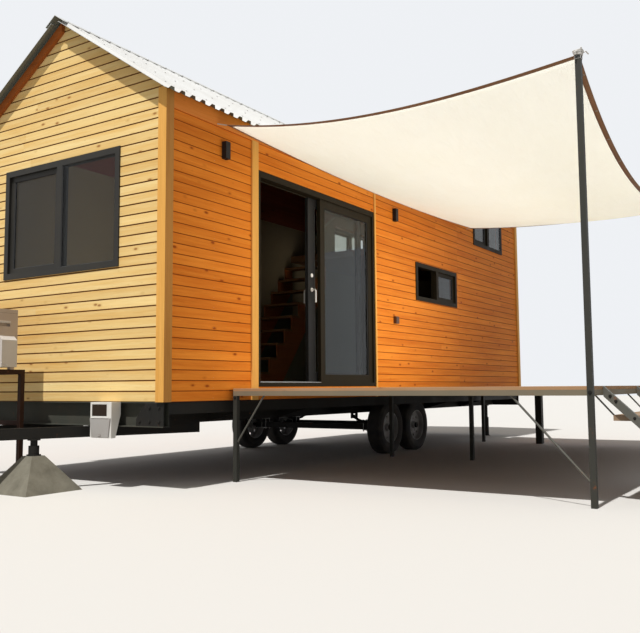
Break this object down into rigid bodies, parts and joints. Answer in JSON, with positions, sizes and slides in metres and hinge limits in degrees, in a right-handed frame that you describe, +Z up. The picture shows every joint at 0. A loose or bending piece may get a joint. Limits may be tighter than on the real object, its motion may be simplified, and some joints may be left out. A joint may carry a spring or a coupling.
{
  "type": "tiny house on wheels",
  "caption": "Timber tiny house on a two-axle trailer, with a corrugated roof, a raised loft, a sliding glazed door, a deck with steps and a shade sail.",
  "frame": {"origin": "on the ground under the middle of the whole object's box", "axes": "+X runs along the house from the front gable with the drawbar to the rear, +Y from the door side to the back, +Z up"},
  "size_m": [9.78, 6.6146, 4.1701],
  "materials": {
    "siding": "oiled softwood boards",
    "pale_trim": "planed pale timber",
    "batten": "stained timber",
    "roof_steel": "pale coated corrugated steel",
    "ceiling_boards": "stained boards",
    "interior_wood": "varnished timber",
    "frame_grey": "anthracite powder coat",
    "aluminium": "mill finish",
    "white_plastic": "white",
    "nylon": "black nylon",
    "glass": "clear",
    "black_steel": "black paint",
    "concrete": "cast concrete",
    "grey_steel": "grey paint with rust",
    "deck_wood": "weathered boards",
    "sail_cloth": "woven cream cloth",
    "cord": "white cord",
    "tyre": "rubber",
    "rim_steel": "silver paint"
  },
  "bodies": {
    "house": {"ac_casing": "white_plastic", "ac_stand": "black_steel", "axle_brackets": "black_steel", "axles": "black_steel", "back_wall_front": "siding", "back_wall_rear": "siding", "chassis_cross_members": "black_steel", "chassis_long_members": "black_steel", "concrete_blocks": "concrete", "deck_boards": "deck_wood", "deck_braces": "grey_steel", "deck_end_beams": "grey_steel", "deck_joists": "grey_steel", "deck_posts": "grey_steel", "door_head_and_sill": "frame_grey", "door_jambs": "frame_grey", "door_leaf_fixed": "frame_grey", "door_rails": "aluminium", "door_wall_at_door": "siding", "door_wall_front": "siding", "door_wall_middle": "siding", "door_wall_rear": "siding", "dormer_cheek": "siding", "drawbar_arms": "black_steel", "drawbar_coupling": "black_steel", "electric_boxes": "white_plastic", "fixed_glass": "glass", "floor": "interior_wood", "friezes": "pale_trim", "front_wall": "siding", "lamps": "black_steel", "loft_floor": "interior_wood", "loft_roof_panels": "ceiling_boards", "loft_roof_sheets": "roof_steel", "loft_stair_sides": "interior_wood", "loft_stair_treads": "interior_wood", "rear_wall": "siding", "ridge_cap": "roof_steel", "roof_panels": "ceiling_boards", "roof_sheets": "roof_steel", "sail": "sail_cloth", "sail_ties": "cord", "screw_jacks": "black_steel", "step_stringers": "grey_steel", "step_treads": "deck_wood", "upright_trims": "pale_trim", "verge_battens": "batten", "window_frames": "frame_grey"},
    "sliding_leaf": {"door_leaf_sliding": "frame_grey", "door_glass_sliding": "glass", "door_rollers": "nylon", "door_handles": "white_plastic"},
    "wheel_front_door_side": {"tyre_front_door_side": "tyre", "rim_front_door_side": "rim_steel"},
    "wheel_front_back_side": {"tyre_front_back_side": "tyre", "rim_front_back_side": "rim_steel"},
    "wheel_rear_door_side": {"tyre_rear_door_side": "tyre", "rim_rear_door_side": "rim_steel"},
    "wheel_rear_back_side": {"tyre_rear_back_side": "tyre", "rim_rear_back_side": "rim_steel"}
  },
  "joints": [
    {"name": "door_slide", "type": "slide", "parent": "house", "child": "sliding_leaf", "axis": [-1, 0, 0], "range_m": [0, 0.891]},
    {"name": "wheel_front_door_spin", "type": "hinge", "parent": "house", "child": "wheel_front_door_side", "pos_m": [0.475, 0.88104, 0.32], "axis": [0, 1, 0], "continuous": true},
    {"name": "wheel_front_back_spin", "type": "hinge", "parent": "house", "child": "wheel_front_back_side", "pos_m": [0.475, 2.96104, 0.32], "axis": [0, 1, 0], "continuous": true},
    {"name": "wheel_rear_door_spin", "type": "hinge", "parent": "house", "child": "wheel_rear_door_side", "pos_m": [1.195, 0.88104, 0.32], "axis": [0, 1, 0], "continuous": true},
    {"name": "wheel_rear_back_spin", "type": "hinge", "parent": "house", "child": "wheel_rear_back_side", "pos_m": [1.195, 2.96104, 0.32], "axis": [0, 1, 0], "continuous": true}
  ]
}
